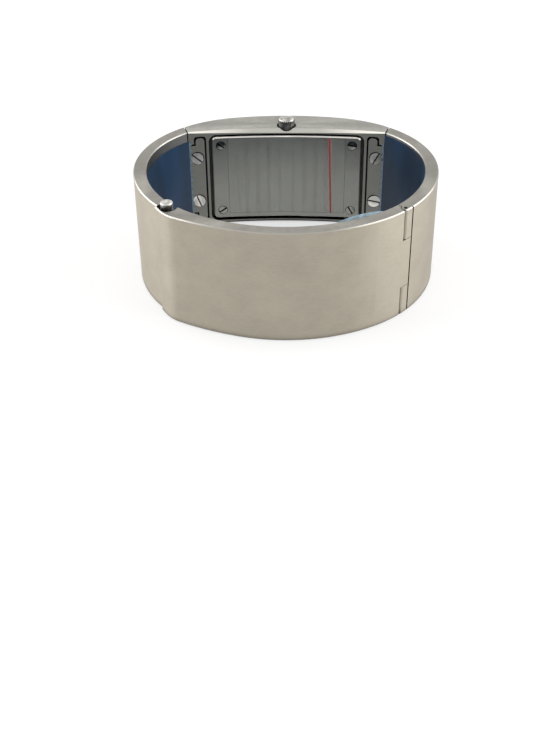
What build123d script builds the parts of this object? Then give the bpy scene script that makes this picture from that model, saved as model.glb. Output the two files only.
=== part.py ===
from build123d import *
from math import asin, cos, degrees, pi, radians, sin, sqrt
import os

# A bangle watch that lies on one side edge. X is to the right, Y points to the dial, Z is up.
# The wrist goes through along Z. The hinge is at the right front and the latch at the left front.
# All lengths are in millimetres and all angles in degrees.

# Bracelet, seen along the wrist
band_width = 24.1
band_bulge = 9.65
shoulder_centre = 7.55
side_centre = 3.75
head_flattening = 35.8
front_flattening = 7.5
band_wall = 2.7
wrist_face_radius = 150.0
edge_break = 0.2
seam_gap = 0.12
head_gap = 0.3
reach = 60.0

# Watch head and its two end pockets
head_thickness = 8.08
head_end_tilt = 19.0
head_bevel = 0.8
head_bevel_end = 0.25
tongue_thickness = 1.2
tongue_head_length = 1.95
tongue_neck_length = 1.6
tongue_head_margin = 1.6
tongue_neck_margin = 3.45
tongue_corner = 0.8
tongue_gap = 0.4
tongue_bury = 0.5

# Case back and its pocket
back_ledge = 3.6
back_margin = 1.6
back_rib = 0.55
back_thickness = 1.2
back_corner = 1.1
back_gap = 0.6
back_bevel = 0.25
back_gasket_depth = 0.4
back_gasket_width = 0.7
back_gasket_margin = 0.15

# Movement room, window and crystal
room_margin = 3.05
ceiling_cover = 0.65
ledge_length = 2.4
ledge_width = 1.8
crystal_thickness = 1.2
crystal_lip = 1.0
crystal_gap = 0.05
crystal_corner = 0.6
crystal_gasket_thickness = 0.3
dial_ring_wall = 0.8
dial_thickness = 0.4
dial_edge_gap = 0.45
dial_bore_gap = 0.1
marker_length = 1.5
marker_width = 0.42
marker_height = 0.15
marker_inset = 0.45

# Movement
movement_half_length = 10.9
movement_gap = 0.22
holder_length = 2.4
holder_width = 0.9
holder_gap = 0.1
plate_thickness = 1.05
motion_recess_depth = 0.55
recess_margin = 0.15
wheel_centre_distance = 2.0
wheel_gap = 0.02
wheel_thickness = 0.15
wheel_spacing = 0.08
arbor_radius = 0.42
arbor_gap = 0.05
hour_tube_wall = 0.28
stud_radius = 0.15
stud_gap = 0.03
battery_radius = 3.4
battery_thickness = 1.55
battery_margin = 0.6
strap_thickness = 0.15
strap_width = 1.6
strap_margin = 0.5
coil_radius = 0.85
coil_length = 6.0
coil_core_radius = 0.35
coil_core_end = 0.7
coil_end_margin = 0.8
coil_side_margin = 1.15
board_thickness = 0.4
board_depth = 3.8
board_gap = 0.3
can_radius = 0.6
can_length = 4.2
can_inset = 1.4
train_left = 2.4
train_gap = 1.35
train_thickness = 1.5

# Hands
minute_hand_end_gap = 0.4
minute_hand_width = 0.7
hour_hand_shortfall = 1.9
hour_hand_width = 0.9
hand_tip_share = 0.3
hand_tail_share = 0.22
least_slope_share = 0.001
hand_thickness = 0.15
hour_hand_lift = 0.45
hand_gap = 0.3
hand_boss_radius = 0.75
minute_hand_angle = 60.0
hour_hand_angle = -55.0

# Crown and stem
crown_radius = 1.85
crown_skirt = 1.95
crown_shoulder = 0.25
crown_top_radius = 1.6
crown_dome = 0.3
crown_scoop_gap = 0.34
crown_scoop_depth = 0.6
crown_floor_gap = 0.1
crown_cup_radius = 1.15
crown_cup_depth = 1.2
crown_flutes = 24
crown_flute_radius = 0.16
crown_travel = 1.0
stem_radius = 0.42
stem_gap = 0.06
stem_square = 0.56
stem_square_gap = 0.04
stem_grip = 0.6
stem_tube_radius = 0.75
stem_tube_rise = 0.2
crown_gasket_height = 0.4
clutch_radius = 0.72
clutch_plate_gap = 0.08
clutch_length = 1.5
clutch_gap = 0.05
bearing_half_length = 1.9
bearing_top_margin = 0.6
bearing_wall = 0.9

# Hinge
hinge_angle = 44.7
hinge_depth = 0.75
hinge_pin_radius = 0.4
hinge_pin_gap = 0.05
hinge_pin_recess = 0.35
knuckle_radius = 0.8
knuckle_room = 0.95
knuckle_height = 6.6
knuckle_gap = 0.1
knuckle_reach = 1.3
knuckle_end_gap = 0.35
hinge_lip = 1.1
hinge_face_gap = 0.12
hinge_groove_depth = 0.3

# Latch
latch_seam_angle = 41.6
latch_axis_angle = 45.0
latch_axis_depth = 1.25
latch_low = 6.0
latch_top_block = 6.7
latch_gap = 0.1
lip_start_angle = 13.0
lip_flattening = 18.0
lip_ramp = 9.0
lip_step = 0.5
lip_round = 8.0
lip_bury = 1.0
lip_sink = 0.03
latch_skin = 0.42
latch_skin_gap = 0.15
tang_length = 4.2
notch_depth = 3.2
notch_skin = 0.35
notch_radius = 2.15
button_radius = 1.25
button_proud = 1.0
button_head = 1.5
button_neck_radius = 0.95
button_travel = 1.0
button_floor_gap = 0.1
button_round = 0.25
rod_radius = 0.45
rod_gap = 0.04
rod_slot_gap = 0.12
rod_bite = 3.0
spring_room_radius = 0.85
spring_room_depth = 2.2
spring_outer_radius = 0.78
spring_inner_radius = 0.56
rod_collar_radius = 0.8
rod_collar = 0.3
clip_radius = 0.7
clip_thickness = 0.2
clip_drop = 0.1
clip_room_gap = 0.12
clip_groove_depth = 0.15
pin_bury = 2.5
pin_rise = 1.2
pin_slot_gap = 0.15

# Screws
lug_screw_margin = 3.1
lug_screw_head_radius = 1.45
lug_screw_head = 0.65
lug_screw_proud = 0.2
lug_screw_dome = 0.15
lug_screw_shank_radius = 0.6
lug_screw_length = 2.2
back_screw_inset = 2.08
back_screw_rise = 2.1
back_screw_head_radius = 1.0
back_screw_head = 0.5
back_screw_dome = 0.1
back_screw_shank_radius = 0.5
back_screw_length = 3.0
screw_head_gap = 0.12
screw_slot_width = 0.36
screw_slot_depth = 0.28
lug_screw_turns = [40.0, -62.0, 70.0, 12.0]
back_screw_turns = [35.0, 8.0, -35.0, 60.0]

# Protective films
film_thickness = 0.1
film_height = 21.5
left_film_low = 0.3
right_film_low = 1.9
film_overlap = 0.75
film_lap_margin = 0.9
film_tooth = 0.65
film_teeth = 16
film_end_gap = 0.6
gate_film_edge = 1.1
gate_film_end = 1.3
back_film_end_margin = 3.6
back_film_low_margin = 1.2
back_film_high_margin = 0.5

# Places worked out from the driving dimensions
mid_height = band_width / 2
room_half_length = movement_half_length + holder_gap + holder_length
room_half_width = mid_height - room_margin
back_half_length = room_half_length + back_ledge
tongue_head_inner_x = back_half_length + back_gap + back_rib + tongue_gap
tongue_head_outer_x = tongue_head_inner_x + tongue_head_length
head_half_length = tongue_head_outer_x + tongue_neck_length
half_width = head_half_length + band_bulge
shoulder_radius = half_width - shoulder_centre
side_radius = half_width - side_centre
head_arc_radius = shoulder_radius + head_flattening
front_radius = side_radius + front_flattening
head_fall = sqrt(head_flattening**2 - shoulder_centre**2)
front_rise = sqrt(front_flattening**2 - side_centre**2)
head_reach = head_arc_radius - head_fall
front_reach = front_radius - front_rise
widest_y = (front_reach - head_reach) / 2
head_y = widest_y - head_fall
front_y = widest_y + front_rise
head_turn = degrees(asin(shoulder_centre / head_flattening))
front_turn = degrees(asin(side_centre / front_flattening))
head_top_y = head_y + head_arc_radius
wrist_y = head_top_y - head_thickness - wrist_face_radius
head_end_y = wrist_y + sqrt(wrist_face_radius**2 - head_half_length**2)
head_bevel_sag = head_top_y - head_thickness - head_end_y + head_bevel - head_bevel_end
head_bevel_radius = (head_half_length**2 + head_bevel_sag**2) / 2 / head_bevel_sag
inner_bulge = band_bulge - band_wall
inner_shoulder_radius = (inner_bulge**2 + (head_end_y - widest_y) ** 2) / 2 / inner_bulge
inner_shoulder_centre = half_width - band_wall - inner_shoulder_radius
window_half_length = room_half_length - ledge_length
window_half_width = room_half_width - ledge_width
rabbet_half_length = window_half_length + crystal_lip + crystal_gap
rabbet_radius = head_arc_radius - crystal_thickness - crystal_gasket_thickness
room_ceiling_y = head_y + sqrt(rabbet_radius**2 - rabbet_half_length**2) - ceiling_cover
dial_back_y = room_ceiling_y - dial_thickness
plate_back_y = dial_back_y - plate_thickness
movement_back_y = wrist_y + wrist_face_radius + back_thickness + movement_gap
crown_y = plate_back_y - clutch_radius - clutch_plate_gap
back_half_width = mid_height - back_margin
tongue_head_half = mid_height - tongue_head_margin
tongue_neck_half = mid_height - tongue_neck_margin
lug_screw_x = (tongue_head_inner_x + head_half_length) / 2
lug_screw_spread = tongue_neck_half - lug_screw_margin
movement_half_width = room_half_width - holder_gap - holder_width
battery_offset = movement_half_length - battery_radius - battery_margin
coil_offset = movement_half_length - coil_length / 2 - coil_core_end - coil_end_margin
coil_drop = movement_half_width - coil_radius - coil_side_margin
board_right = coil_offset - coil_length / 2 - coil_core_end - board_gap
train_drop = coil_drop - coil_radius - train_gap
minute_hand_length = window_half_width - dial_ring_wall - minute_hand_end_gap
hour_hand_length = minute_hand_length - hour_hand_shortfall
knuckle_low = knuckle_height
knuckle_high = band_width - knuckle_height
latch_high = band_width - latch_top_block
notch_floor = band_width - notch_depth
back_film_half_length = back_half_length - back_film_end_margin
back_film_low = mid_height - back_half_width + back_film_low_margin
back_film_high = mid_height + back_half_width - back_film_high_margin


def outline(depth):
    """Outer contour of the closed bracelet, moved inwards by depth."""
    arcs = [
        CenterArc((0, head_y), head_arc_radius - depth, 90 - head_turn, 2 * head_turn),
        CenterArc((-shoulder_centre, widest_y), shoulder_radius - depth, 90 + head_turn, 90 - head_turn),
        CenterArc((-side_centre, widest_y), side_radius - depth, 180, 90 - front_turn),
        CenterArc((0, front_y), front_radius - depth, 270 - front_turn, 2 * front_turn),
        CenterArc((side_centre, widest_y), side_radius - depth, 270 + front_turn, 90 - front_turn),
        CenterArc((shoulder_centre, widest_y), shoulder_radius - depth, 0, 90 - head_turn),
    ]
    return make_face(arcs)


def wrist_outline(depth):
    """Inner contour of the band and gate, moved away from the metal by depth."""
    shoulder = inner_shoulder_radius - depth
    side = side_radius - band_wall - depth
    front = front_radius - band_wall - depth
    arcs = [
        CenterArc((-inner_shoulder_centre, widest_y), shoulder, 90, 90),
        CenterArc((-side_centre, widest_y), side, 180, 90 - front_turn),
        CenterArc((0, front_y), front, 270 - front_turn, 2 * front_turn),
        CenterArc((side_centre, widest_y), side, 270 + front_turn, 90 - front_turn),
        CenterArc((inner_shoulder_centre, widest_y), shoulder, 0, 90),
        Line((inner_shoulder_centre, widest_y + shoulder), (-inner_shoulder_centre, widest_y + shoulder)),
    ]
    return make_face(arcs)


def wrist_disc(depth):
    """Plan of everything below the head's wrist face, moved into the metal by depth."""
    return Pos(0, wrist_y) * Circle(wrist_face_radius + depth)


def plan(face, low=0.0, high=band_width):
    """Solid with a plan outline between two heights."""
    return Pos(0, 0, low) * extrude(face, high - low)


def facing(sketch):
    """Prism that runs along Y, from a sketch drawn in X and height."""
    return extrude(Plane.XZ * sketch, amount=reach, both=True)


def centred(half_length, half_height, corner=0.0):
    """Rectangle about the middle of the head, as seen along Y."""
    if corner:
        shape = RectangleRounded(2 * half_length, 2 * half_height, corner)
    else:
        shape = Rectangle(2 * half_length, 2 * half_height)
    return Pos(0, mid_height) * shape


def block(left, right, low, high):
    """Axis-aligned rectangle from its four sides."""
    return Pos((left + right) / 2, (low + high) / 2) * Rectangle(right - left, high - low)


def wall_frame(hand, angle, depth):
    """Frame in the side wall: X along the wall towards +X, Y inwards. hand is 1 right, -1 left."""
    radius = side_radius - depth
    x = hand * (side_centre + radius * cos(radians(angle)))
    y = widest_y - radius * sin(radians(angle))
    return Pos(x, y) * Rot(0, 0, hand * (90 - angle))


def along_y(x, y, z, radius, length):
    """Cylinder along Y that starts at y."""
    return Pos(x, y, z) * Rot(-90, 0, 0) * Cylinder(
        radius, length, align=(Align.CENTER, Align.CENTER, Align.MIN)
    )


def along_z(x, y, z, radius, length):
    """Cylinder along Z that starts at z."""
    return Pos(x, y, z) * Cylinder(radius, length, align=(Align.CENTER, Align.CENTER, Align.MIN))


def wrist_face_at(x):
    """Y of the head's wrist face at x."""
    return wrist_y + sqrt(wrist_face_radius**2 - x**2)


def bevelled(contour, inner):
    """Blank through the band's width whose edges are broken. inner flares the two ends."""
    lean = -edge_break if inner else edge_break
    top = band_width - edge_break
    low_end = loft([contour(lean), Pos(0, 0, edge_break) * contour(0)], ruled=True)
    high_end = loft([Pos(0, 0, top) * contour(0), Pos(0, 0, band_width) * contour(lean)], ruled=True)
    return plan(contour(0), edge_break, top) + low_end + high_end


outer_blank = bevelled(outline, False)
bracelet_blank = outer_blank - bevelled(wrist_outline, True)

# Frames at the head's right end, the hinge, the latch seam and the latch rod
head_end = Pos(head_half_length, head_end_y) * Rot(0, 0, -head_end_tilt)
hinge_frame = wall_frame(1, hinge_angle, hinge_depth)
seam_frame = wall_frame(-1, latch_seam_angle, 0)
rod_frame = wall_frame(-1, latch_axis_angle, latch_axis_depth)
lip_frame = Pos(0, front_y) * Rot(0, 0, -lip_start_angle)
hinge_x, hinge_y = hinge_frame.position.X, hinge_frame.position.Y
rod_x, rod_y = rod_frame.position.X, rod_frame.position.Y


def beyond_head(gap):
    """Plan of everything past the head's right end."""
    return head_end * block(gap, reach, -reach, reach)


def tongue_sketch(margin):
    """T-shaped end of the band on the right, as seen along Y. margin widens it for its pocket."""
    head = Pos((tongue_head_inner_x + tongue_head_outer_x) / 2, mid_height) * RectangleRounded(
        tongue_head_outer_x - tongue_head_inner_x + 2 * margin,
        2 * (tongue_head_half + margin),
        tongue_corner,
    )
    neck_left = (tongue_head_inner_x + tongue_head_outer_x) / 2
    neck_half = tongue_neck_half + margin
    neck = block(neck_left, reach / 2, mid_height - neck_half, mid_height + neck_half)
    return head + neck


def screw_places(x, spread):
    """The four places (x, z) of screws placed alike at both ends, top ones first."""
    return [(hand * x, mid_height + rise * spread) for rise in (1, -1) for hand in (-1, 1)]


lug_places = screw_places(lug_screw_x, lug_screw_spread)
back_screw_x = back_half_length - back_screw_inset
back_places = screw_places(back_screw_x, back_half_width - back_screw_rise)
lug_seat_y = wrist_face_at(lug_screw_x) + lug_screw_head - lug_screw_proud
back_seat_y = wrist_face_at(back_screw_x) + back_screw_head


def lug_screw_holes():
    """Stepped holes for the four band screws."""
    holes = []
    for x, z in lug_places:
        holes.append(along_y(x, lug_seat_y - reach, z, lug_screw_head_radius + screw_head_gap, reach))
        holes.append(along_y(x, lug_seat_y, z, lug_screw_shank_radius, lug_screw_length))
    return holes


def slotted_screw(x, z, seat, head_radius, head_height, dome, shank_radius, length, turn):
    """Screw along Y with a slotted head that faces the wrist."""
    head = along_y(x, seat - head_height, z, head_radius, head_height)
    face_y = seat - head_height
    cap_radius = (head_radius**2 + dome**2) / (2 * dome)
    head += Pos(x, face_y - dome + cap_radius, z) * Sphere(cap_radius) & along_y(
        x, face_y - dome, z, head_radius, dome
    )
    slot = Box(2 * head_radius + screw_slot_width, screw_slot_depth + dome, screw_slot_width)
    slot_y = face_y - dome + (screw_slot_depth + dome) / 2
    head -= Pos(x, slot_y, z) * Rot(0, turn, 0) * slot
    return head + along_y(x, seat, z, shank_radius, length)


def head_rim_bevel():
    """Cutter for the slope along the top edge of the head's wrist face."""
    centre_y = head_top_y - head_thickness - head_bevel_radius
    low_disc = Pos(0, centre_y, band_width - head_bevel) * Circle(head_bevel_radius)
    high_disc = Pos(0, centre_y + head_bevel, band_width) * Circle(head_bevel_radius)
    return loft([low_disc, high_disc], ruled=True)


def make_case_body():
    """Watch head: the hollow body between the two bands."""
    wedge = block(-reach, reach, -reach, reach) - beyond_head(0) - mirror(beyond_head(0), Plane.YZ)
    wrist_void = bevelled(lambda depth: wrist_disc(-depth), True)
    body = (outer_blank - wrist_void) & plan(wedge)
    rim_bevel = head_rim_bevel()
    body -= [rim_bevel, mirror(rim_bevel, Plane.XY.offset(mid_height))]
    pocket = centred(back_half_length + back_gap, back_half_width + back_gap, back_corner + back_gap)
    body -= plan(wrist_disc(back_thickness)) & facing(pocket)
    groove_in = back_gasket_margin
    groove_out = back_gasket_margin + back_gasket_width
    groove = centred(room_half_length + groove_out, room_half_width + groove_out) - centred(
        room_half_length + groove_in, room_half_width + groove_in
    )
    body -= plan(wrist_disc(back_thickness + back_gasket_depth)) & facing(groove)
    under_ceiling = block(-reach, reach, 0, room_ceiling_y)
    body -= plan(under_ceiling) & facing(centred(room_half_length, room_half_width))
    above_wrist = block(-reach, reach, 0, reach)
    window = centred(window_half_length, window_half_width, crystal_corner)
    body -= plan(above_wrist) & facing(window)
    rabbet = centred(
        rabbet_half_length,
        window_half_width + crystal_lip + crystal_gap,
        crystal_corner,
    )
    outside = above_wrist - outline(crystal_thickness + crystal_gasket_thickness)
    body -= plan(outside) & facing(rabbet)
    tongue_pocket = plan(wrist_disc(tongue_thickness)) & facing(tongue_sketch(tongue_gap))
    body -= [tongue_pocket, mirror(tongue_pocket, Plane.YZ)]
    body -= lug_screw_holes()
    for x, z in back_places:
        body -= along_y(x, back_seat_y, z, back_screw_shank_radius, back_screw_length)
    body -= along_z(0, crown_y, mid_height, stem_tube_radius, mid_height)
    scoop_radius = crown_radius + crown_scoop_gap
    body -= along_z(0, crown_y, band_width - crown_scoop_depth, scoop_radius, crown_scoop_depth)
    return body


def make_case_back():
    """Curved plate that closes the head on the wrist side."""
    shape = centred(back_half_length, back_half_width, back_corner)
    layer = wrist_disc(back_thickness) - wrist_disc(0)
    plate = plan(layer) & facing(shape)
    wrist_edges = plate.faces().sort_by(Axis.Y)[0].edges()
    plate = chamfer(wrist_edges, back_bevel)
    for x, z in back_places:
        head_radius = back_screw_head_radius + screw_head_gap
        plate -= along_y(x, back_seat_y - reach, z, head_radius, reach)
        plate -= along_y(x, back_seat_y, z, back_screw_shank_radius, back_thickness)
    return plate


def make_case_back_gasket():
    """Square-cornered seal in its groove round the movement room."""
    inner = back_gasket_margin
    outer = back_gasket_margin + back_gasket_width
    ring = centred(room_half_length + outer, room_half_width + outer) - centred(
        room_half_length + inner, room_half_width + inner
    )
    layer = wrist_disc(back_thickness + back_gasket_depth) - wrist_disc(back_thickness)
    return plan(layer) & facing(ring)


def make_case_back_screws():
    """Four small slotted screws at the corners of the case back."""
    return [
        slotted_screw(
            x, z, back_seat_y, back_screw_head_radius, back_screw_head, back_screw_dome,
            back_screw_shank_radius, back_screw_length, turn,
        )
        for (x, z), turn in zip(back_places, back_screw_turns)
    ]


def make_band_screws(hand):
    """Two slotted screws that hold one band's tongue in the head."""
    screws = []
    for (x, z), turn in zip(lug_places, lug_screw_turns):
        if x * hand > 0:
            screws.append(
                slotted_screw(
                    x, z, lug_seat_y, lug_screw_head_radius, lug_screw_head, lug_screw_dome,
                    lug_screw_shank_radius, lug_screw_length, turn,
                )
            )
    return screws


def make_tongue():
    """Right tongue: a flat T that lies in the head's end pocket."""
    layer = wrist_disc(tongue_thickness) - wrist_disc(0)
    limit = head_end * block(-reach, head_gap + tongue_bury, -reach, reach)
    return (plan(layer & limit) & facing(tongue_sketch(0))) - lug_screw_holes()


def make_right_band():
    """Fixed band on the hinge side, with two hinge knuckles."""
    past_hinge = hinge_frame * block(0, reach, -reach, reach) + hinge_frame * Circle(knuckle_radius)
    band = bracelet_blank & plan(beyond_head(head_gap) & past_hinge)
    gate_room = hinge_frame * block(-reach, knuckle_reach + knuckle_end_gap, -reach / 2, reach / 2)
    half_gap = knuckle_gap / 2
    band -= plan(gate_room, knuckle_low - half_gap, knuckle_high + half_gap)
    groove = hinge_frame * block(
        knuckle_reach, knuckle_reach + knuckle_end_gap, -reach, hinge_groove_depth - hinge_depth
    )
    band -= plan(groove)
    band += make_tongue()
    return band - along_z(hinge_x, hinge_y, 0, hinge_pin_radius, band_width)


def make_left_band():
    """Fixed band on the latch side, with the tang that goes under the gate's skin."""
    before_seam = seam_frame * block(-reach, 0, -reach, reach)
    head_side = mirror(beyond_head(head_gap), Plane.YZ)
    band = bracelet_blank & plan(head_side & before_seam)
    layer = outline(latch_skin + latch_skin_gap) - wrist_outline(0)
    along = seam_frame * block(-tongue_bury, tang_length, -reach / 2, reach / 2)
    tang = plan(layer & along, latch_low + latch_gap, latch_high - latch_gap)
    top_slot = latch_high - rod_bite - button_travel - pin_slot_gap
    tang -= plan(latch_slot(rod_radius + rod_slot_gap), top_slot, latch_high)
    clip_floor = latch_high - clip_drop - clip_thickness - button_travel - pin_slot_gap
    tang -= plan(latch_slot(clip_radius + clip_room_gap), clip_floor, latch_high)
    tang -= plan(latch_slot(rod_radius + rod_slot_gap), latch_low, latch_low + pin_rise + pin_slot_gap)
    return band + tang + mirror(make_tongue(), Plane.YZ)


def latch_slot(half_slot):
    """Plan of a round-ended slot at the latch rod, open to the side that the gate swings to."""
    opening = block(rod_x - half_slot, rod_x + half_slot, rod_y - side_radius, rod_y)
    return Pos(rod_x, rod_y) * Circle(half_slot) + opening


def lip_outline(depth):
    """Plan of the gate's latch end that stands proud of the band, moved inwards by depth."""
    inset = depth + lip_sink
    disc = lip_frame * Pos(0, lip_flattening) * Circle(front_radius + lip_flattening - inset)
    ramp = seam_frame * Rot(0, 0, -lip_ramp) * block(-reach, reach, inset - lip_step, reach)
    lip = disc & ramp
    lip = fillet(lip.vertices().sort_by(Axis.Y)[0], lip_round - depth)
    seam, start = (seam_frame * Pos(0, lip_bury)).position, (lip_frame * Pos(0, -front_radius)).position
    corners = [
        (seam.X, seam.Y), (start.X, start.Y), (start.X, -reach), (-reach, -reach), (-reach, seam.Y)
    ]
    return lip & make_face(Polyline(corners, close=True))


def make_gate():
    """Hinged front third of the bracelet."""
    before_hinge = hinge_frame * block(-reach, knuckle_reach, -reach, reach)
    after_seam = seam_frame * block(seam_gap, reach, -reach, reach)
    front = block(-reach, reach, -reach, widest_y)
    blank = bracelet_blank + bevelled(lip_outline, False)
    gate = blank & plan(before_hinge & after_seam & front)
    knuckle_cut = (
        hinge_frame * block(-hinge_face_gap, reach, -reach, reach)
        + hinge_frame * Circle(knuckle_room)
        + hinge_frame * block(-hinge_lip, reach, -reach, 0)
    )
    half_gap = knuckle_gap / 2
    gate -= plan(knuckle_cut, 0, knuckle_low + half_gap)
    gate -= plan(knuckle_cut, knuckle_high - half_gap, band_width)
    gate -= along_z(hinge_x, hinge_y, 0, hinge_pin_radius + hinge_pin_gap, band_width)
    tang_end = tang_length + latch_gap
    tang_room = (seam_frame * block(-reach, tang_end, -reach / 2, reach / 2)) & outline(latch_skin)
    gate -= plan(tang_room, latch_low, latch_high)
    skin = outline(notch_skin) + lip_outline(notch_skin)
    notch = Pos(rod_x, rod_y) * Circle(notch_radius) & skin
    gate -= plan(notch, notch_floor, band_width)
    gate -= along_z(rod_x, rod_y, latch_high, rod_radius + rod_gap, notch_floor - latch_high)
    gate -= along_z(
        rod_x, rod_y, notch_floor - spring_room_depth, spring_room_radius, spring_room_depth
    )
    return gate - along_z(rod_x, rod_y, latch_low - pin_bury, rod_radius, pin_bury)


def make_hinge_pin():
    """Plain pin, held in the band's two knuckles."""
    length = band_width - 2 * hinge_pin_recess
    return along_z(hinge_x, hinge_y, hinge_pin_recess, hinge_pin_radius, length)


def make_latch_button():
    """Press button, its collar and the rod that goes down into the tang."""
    top = band_width + button_proud
    head = along_z(rod_x, rod_y, top - button_head, button_radius, button_head)
    head = fillet(head.faces().sort_by(Axis.Z)[-1].edges(), button_round)
    neck_low = notch_floor + button_travel + button_floor_gap
    neck = along_z(rod_x, rod_y, neck_low, button_neck_radius, top - button_head - neck_low)
    rod_low = latch_high - rod_bite
    rod = along_z(rod_x, rod_y, rod_low, rod_radius, neck_low - rod_low)
    collar_low = notch_floor - rod_collar
    collar = along_z(rod_x, rod_y, collar_low, rod_collar_radius, rod_collar)
    return head + neck + rod + collar - make_latch_clip()


def make_latch_clip():
    """Snap ring that stops the rod from coming out of the gate."""
    low = latch_high - clip_drop - clip_thickness
    inner = rod_radius - clip_groove_depth
    return along_z(rod_x, rod_y, low, clip_radius, clip_thickness) - along_z(
        rod_x, rod_y, low, inner, clip_thickness
    )


def make_latch_spring():
    """Return spring round the rod, as the sleeve that its coils fill."""
    low = notch_floor - spring_room_depth
    length = spring_room_depth - rod_collar
    return along_z(rod_x, rod_y, low, spring_outer_radius, length) - along_z(
        rod_x, rod_y, low, spring_inner_radius, length
    )


def make_locating_pin():
    """Fixed pin in the gate's lower block that steadies the tang."""
    return along_z(rod_x, rod_y, latch_low - pin_bury, rod_radius, pin_bury + pin_rise)


def zigzag(x, tooth):
    """Region past x with a toothed edge, as seen along Y."""
    pitch = band_width / film_teeth
    points = [(reach, 0), (x, 0)]
    for step in range(film_teeth):
        points.append((x + tooth, (step + 1 / 2) * pitch))
        points.append((x, (step + 1) * pitch))
    points.append((reach, band_width))
    return make_face(Polyline(points, close=True))


def band_film(limit, low):
    """Right-hand film from a height: it lines the band, and a toothed lap covers the tongue's neck."""
    lining = (wrist_outline(0) - wrist_outline(film_thickness)) & beyond_head(0)
    lap_edge = head_half_length - film_overlap
    lap = (wrist_disc(0) - wrist_disc(-film_thickness)) & block(lap_edge, head_half_length, 0, reach)
    film = plan(lining & limit, low, low + film_height)
    lap_half = tongue_neck_half + film_lap_margin
    film += plan(lap, mid_height - lap_half, mid_height + lap_half)
    return film & facing(zigzag(lap_edge, film_tooth))


def make_right_film():
    """Blue film inside the right band."""
    start = knuckle_reach + knuckle_end_gap + film_end_gap
    return band_film(hinge_frame * block(start, reach, -reach, reach), right_film_low)


def make_left_film():
    """Blue film inside the left band."""
    limit = seam_frame * block(-reach, -film_end_gap, -reach, reach)
    return mirror(band_film(mirror(limit, Plane.YZ), left_film_low), Plane.YZ)


def make_gate_film():
    """Blue film inside the gate, set back from all its edges."""
    lining = wrist_outline(0) - wrist_outline(film_thickness)
    lining &= hinge_frame * block(-reach, -hinge_lip - gate_film_end, -reach, reach)
    lining &= rod_frame * block(notch_radius + gate_film_end, reach, -reach, reach)
    lining &= block(-reach, reach, -reach, widest_y)
    return plan(lining, gate_film_edge, band_width - gate_film_edge)


def make_case_back_film():
    """Clear film on the case back."""
    layer = wrist_disc(0) - wrist_disc(-film_thickness)
    shape = block(-back_film_half_length, back_film_half_length, back_film_low, back_film_high)
    return plan(layer) & facing(shape)


def make_crystal():
    """Curved glass that follows the head's outer curve."""
    layer = outline(0) - outline(crystal_thickness)
    shape = centred(
        window_half_length + crystal_lip, window_half_width + crystal_lip, crystal_corner
    )
    return plan(layer & block(-reach, reach, 0, reach)) & facing(shape)


def make_crystal_gasket():
    """Flat seal under the rim of the glass."""
    layer = outline(crystal_thickness) - outline(crystal_thickness + crystal_gasket_thickness)
    outer = centred(
        window_half_length + crystal_lip, window_half_width + crystal_lip, crystal_corner
    )
    ring = outer - centred(window_half_length, window_half_width, crystal_corner)
    return plan(layer & block(-reach, reach, 0, reach)) & facing(ring)


def make_dial_ring():
    """Frame between the dial and the glass."""
    layer = outline(crystal_thickness + crystal_gasket_thickness) & block(
        -reach, reach, room_ceiling_y, reach
    )
    ring = centred(window_half_length, window_half_width, crystal_corner) - centred(
        window_half_length - dial_ring_wall, window_half_width - dial_ring_wall, crystal_corner
    )
    return plan(layer) & facing(ring)


def layer_between(low_y, high_y, sketch):
    """Flat layer of the movement between two Y planes."""
    return plan(block(-reach, reach, low_y, high_y)) & facing(sketch)


hour_tube_outer = arbor_radius + arbor_gap + hour_tube_wall


def make_dial():
    """Plain rectangular dial."""
    shape = centred(room_half_length - dial_edge_gap, room_half_width - dial_edge_gap)
    shape -= Pos(0, mid_height) * Circle(hour_tube_outer + dial_bore_gap)
    return layer_between(dial_back_y, room_ceiling_y, shape)


def make_dial_markers():
    """Twelve applied bars set along the sides of a rectangle. Twelve o'clock is at +X."""
    half_x = window_half_length - dial_ring_wall - marker_inset - marker_length / 2
    half_z = window_half_width - dial_ring_wall - marker_inset - marker_length / 2
    bars = []
    for hour in range(12):
        across, up = cos(hour * pi / 6), sin(hour * pi / 6)
        to_end = half_x / max(abs(across), least_slope_share)
        to_side = half_z / max(abs(up), least_slope_share)
        stretch = min(to_end, to_side)
        spot = Pos(stretch * across, mid_height + stretch * up)
        bar = spot * Rot(0, 0, hour * 30) * Rectangle(marker_length, marker_width)
        bars.append(layer_between(room_ceiling_y, room_ceiling_y + marker_height, bar))
    return bars


cannon_radius = wheel_centre_distance / 4
minute_wheel_radius = wheel_centre_distance * 3 / 4 - wheel_gap
minute_pinion_radius = wheel_centre_distance / 5
hour_wheel_radius = wheel_centre_distance * 4 / 5 - wheel_gap
wheel_floor_y = dial_back_y - motion_recess_depth
lower_wheel_y = wheel_floor_y + wheel_spacing
upper_wheel_y = lower_wheel_y + wheel_thickness + wheel_spacing
hour_hand_y = room_ceiling_y + hour_hand_lift
minute_hand_y = hour_hand_y + hand_thickness + hand_gap


def make_movement_plate():
    """Main plate with the recess for the wheels under the dial."""
    plate = layer_between(
        plate_back_y, dial_back_y, centred(movement_half_length, movement_half_width)
    )
    recess = Pos(0, mid_height) * Circle(hour_wheel_radius + recess_margin)
    recess += Pos(wheel_centre_distance, mid_height) * Circle(minute_wheel_radius + recess_margin)
    plate -= layer_between(wheel_floor_y, dial_back_y, recess)
    plate -= along_y(0, plate_back_y, mid_height, arbor_radius + arbor_gap, plate_thickness)
    stud_length = wheel_floor_y - plate_back_y
    return plate - along_y(
        wheel_centre_distance, plate_back_y, mid_height, stud_radius, stud_length
    )


def make_minute_wheel_stud():
    """Fixed stud that the minute wheel turns on."""
    return along_y(
        wheel_centre_distance, plate_back_y, mid_height, stud_radius, dial_back_y - plate_back_y
    )


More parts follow.
